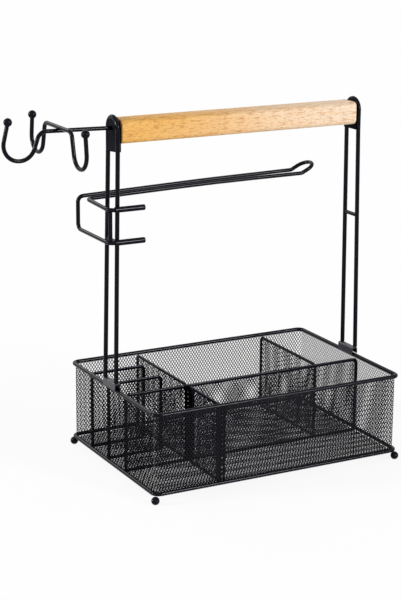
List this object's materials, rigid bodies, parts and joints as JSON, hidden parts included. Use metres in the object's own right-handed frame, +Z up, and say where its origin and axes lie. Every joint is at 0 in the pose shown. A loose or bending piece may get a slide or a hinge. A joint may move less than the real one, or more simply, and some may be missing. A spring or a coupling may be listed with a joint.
{
  "type": "barbecue caddy",
  "caption": "Divided mesh basket on ball feet with wire end frames, a wooden carrying handle, utensil hooks at one end and a pull-out paper-towel arm.",
  "frame": {"origin": "on the ground under the middle of the whole object, hooks included", "axes": "+Z up, +X along the handle away from the hooks, -Y towards the front of the basket"},
  "size_m": [0.4664, 0.236, 0.4374],
  "materials": {
    "black_coat": "satin powder coat",
    "beech": "satin oil"
  },
  "bodies": {
    "caddy": {"top_rim": "black_coat", "base_rim": "black_coat", "front_wall_mesh": "black_coat", "back_wall_mesh": "black_coat", "left_wall_mesh": "black_coat", "right_wall_mesh": "black_coat", "floor_mesh": "black_coat", "foot_front_left": "black_coat", "foot_front_right": "black_coat", "foot_back_left": "black_coat", "foot_back_right": "black_coat", "long_divider_hem": "black_coat", "long_divider_mesh": "black_coat", "left_cross_hem": "black_coat", "left_cross_mesh": "black_coat", "right_cross_hem": "black_coat", "right_cross_mesh": "black_coat", "front_cross_hem": "black_coat", "front_cross_mesh": "black_coat", "front_cross_wall_flange": "black_coat", "front_cross_divider_flange": "black_coat", "back_partition_hem": "black_coat", "back_partition_mesh": "black_coat", "middle_partition_hem": "black_coat", "middle_partition_mesh": "black_coat", "left_leg_frame": "black_coat", "right_leg_frame": "black_coat", "left_rung": "black_coat", "right_rung": "black_coat", "left_saddle": "black_coat", "right_saddle": "black_coat", "left_end_plate": "black_coat", "right_end_plate": "black_coat", "wood_handle": "beech", "handle_screw": "black_coat", "hook_rod": "black_coat", "hook_rod_ball": "black_coat", "double_hook": "black_coat", "front_hook_ball": "black_coat", "back_hook_ball": "black_coat", "upper_socket": "black_coat", "lower_socket": "black_coat"},
    "towel_holder": {"towel_arm_wire": "black_coat", "towel_tie_bar": "black_coat"}
  },
  "joints": [
    {"name": "towel_holder_pull", "type": "slide", "parent": "caddy", "child": "towel_holder", "axis": [-1, 0, 0], "range_m": [0, 0.05]}
  ]
}
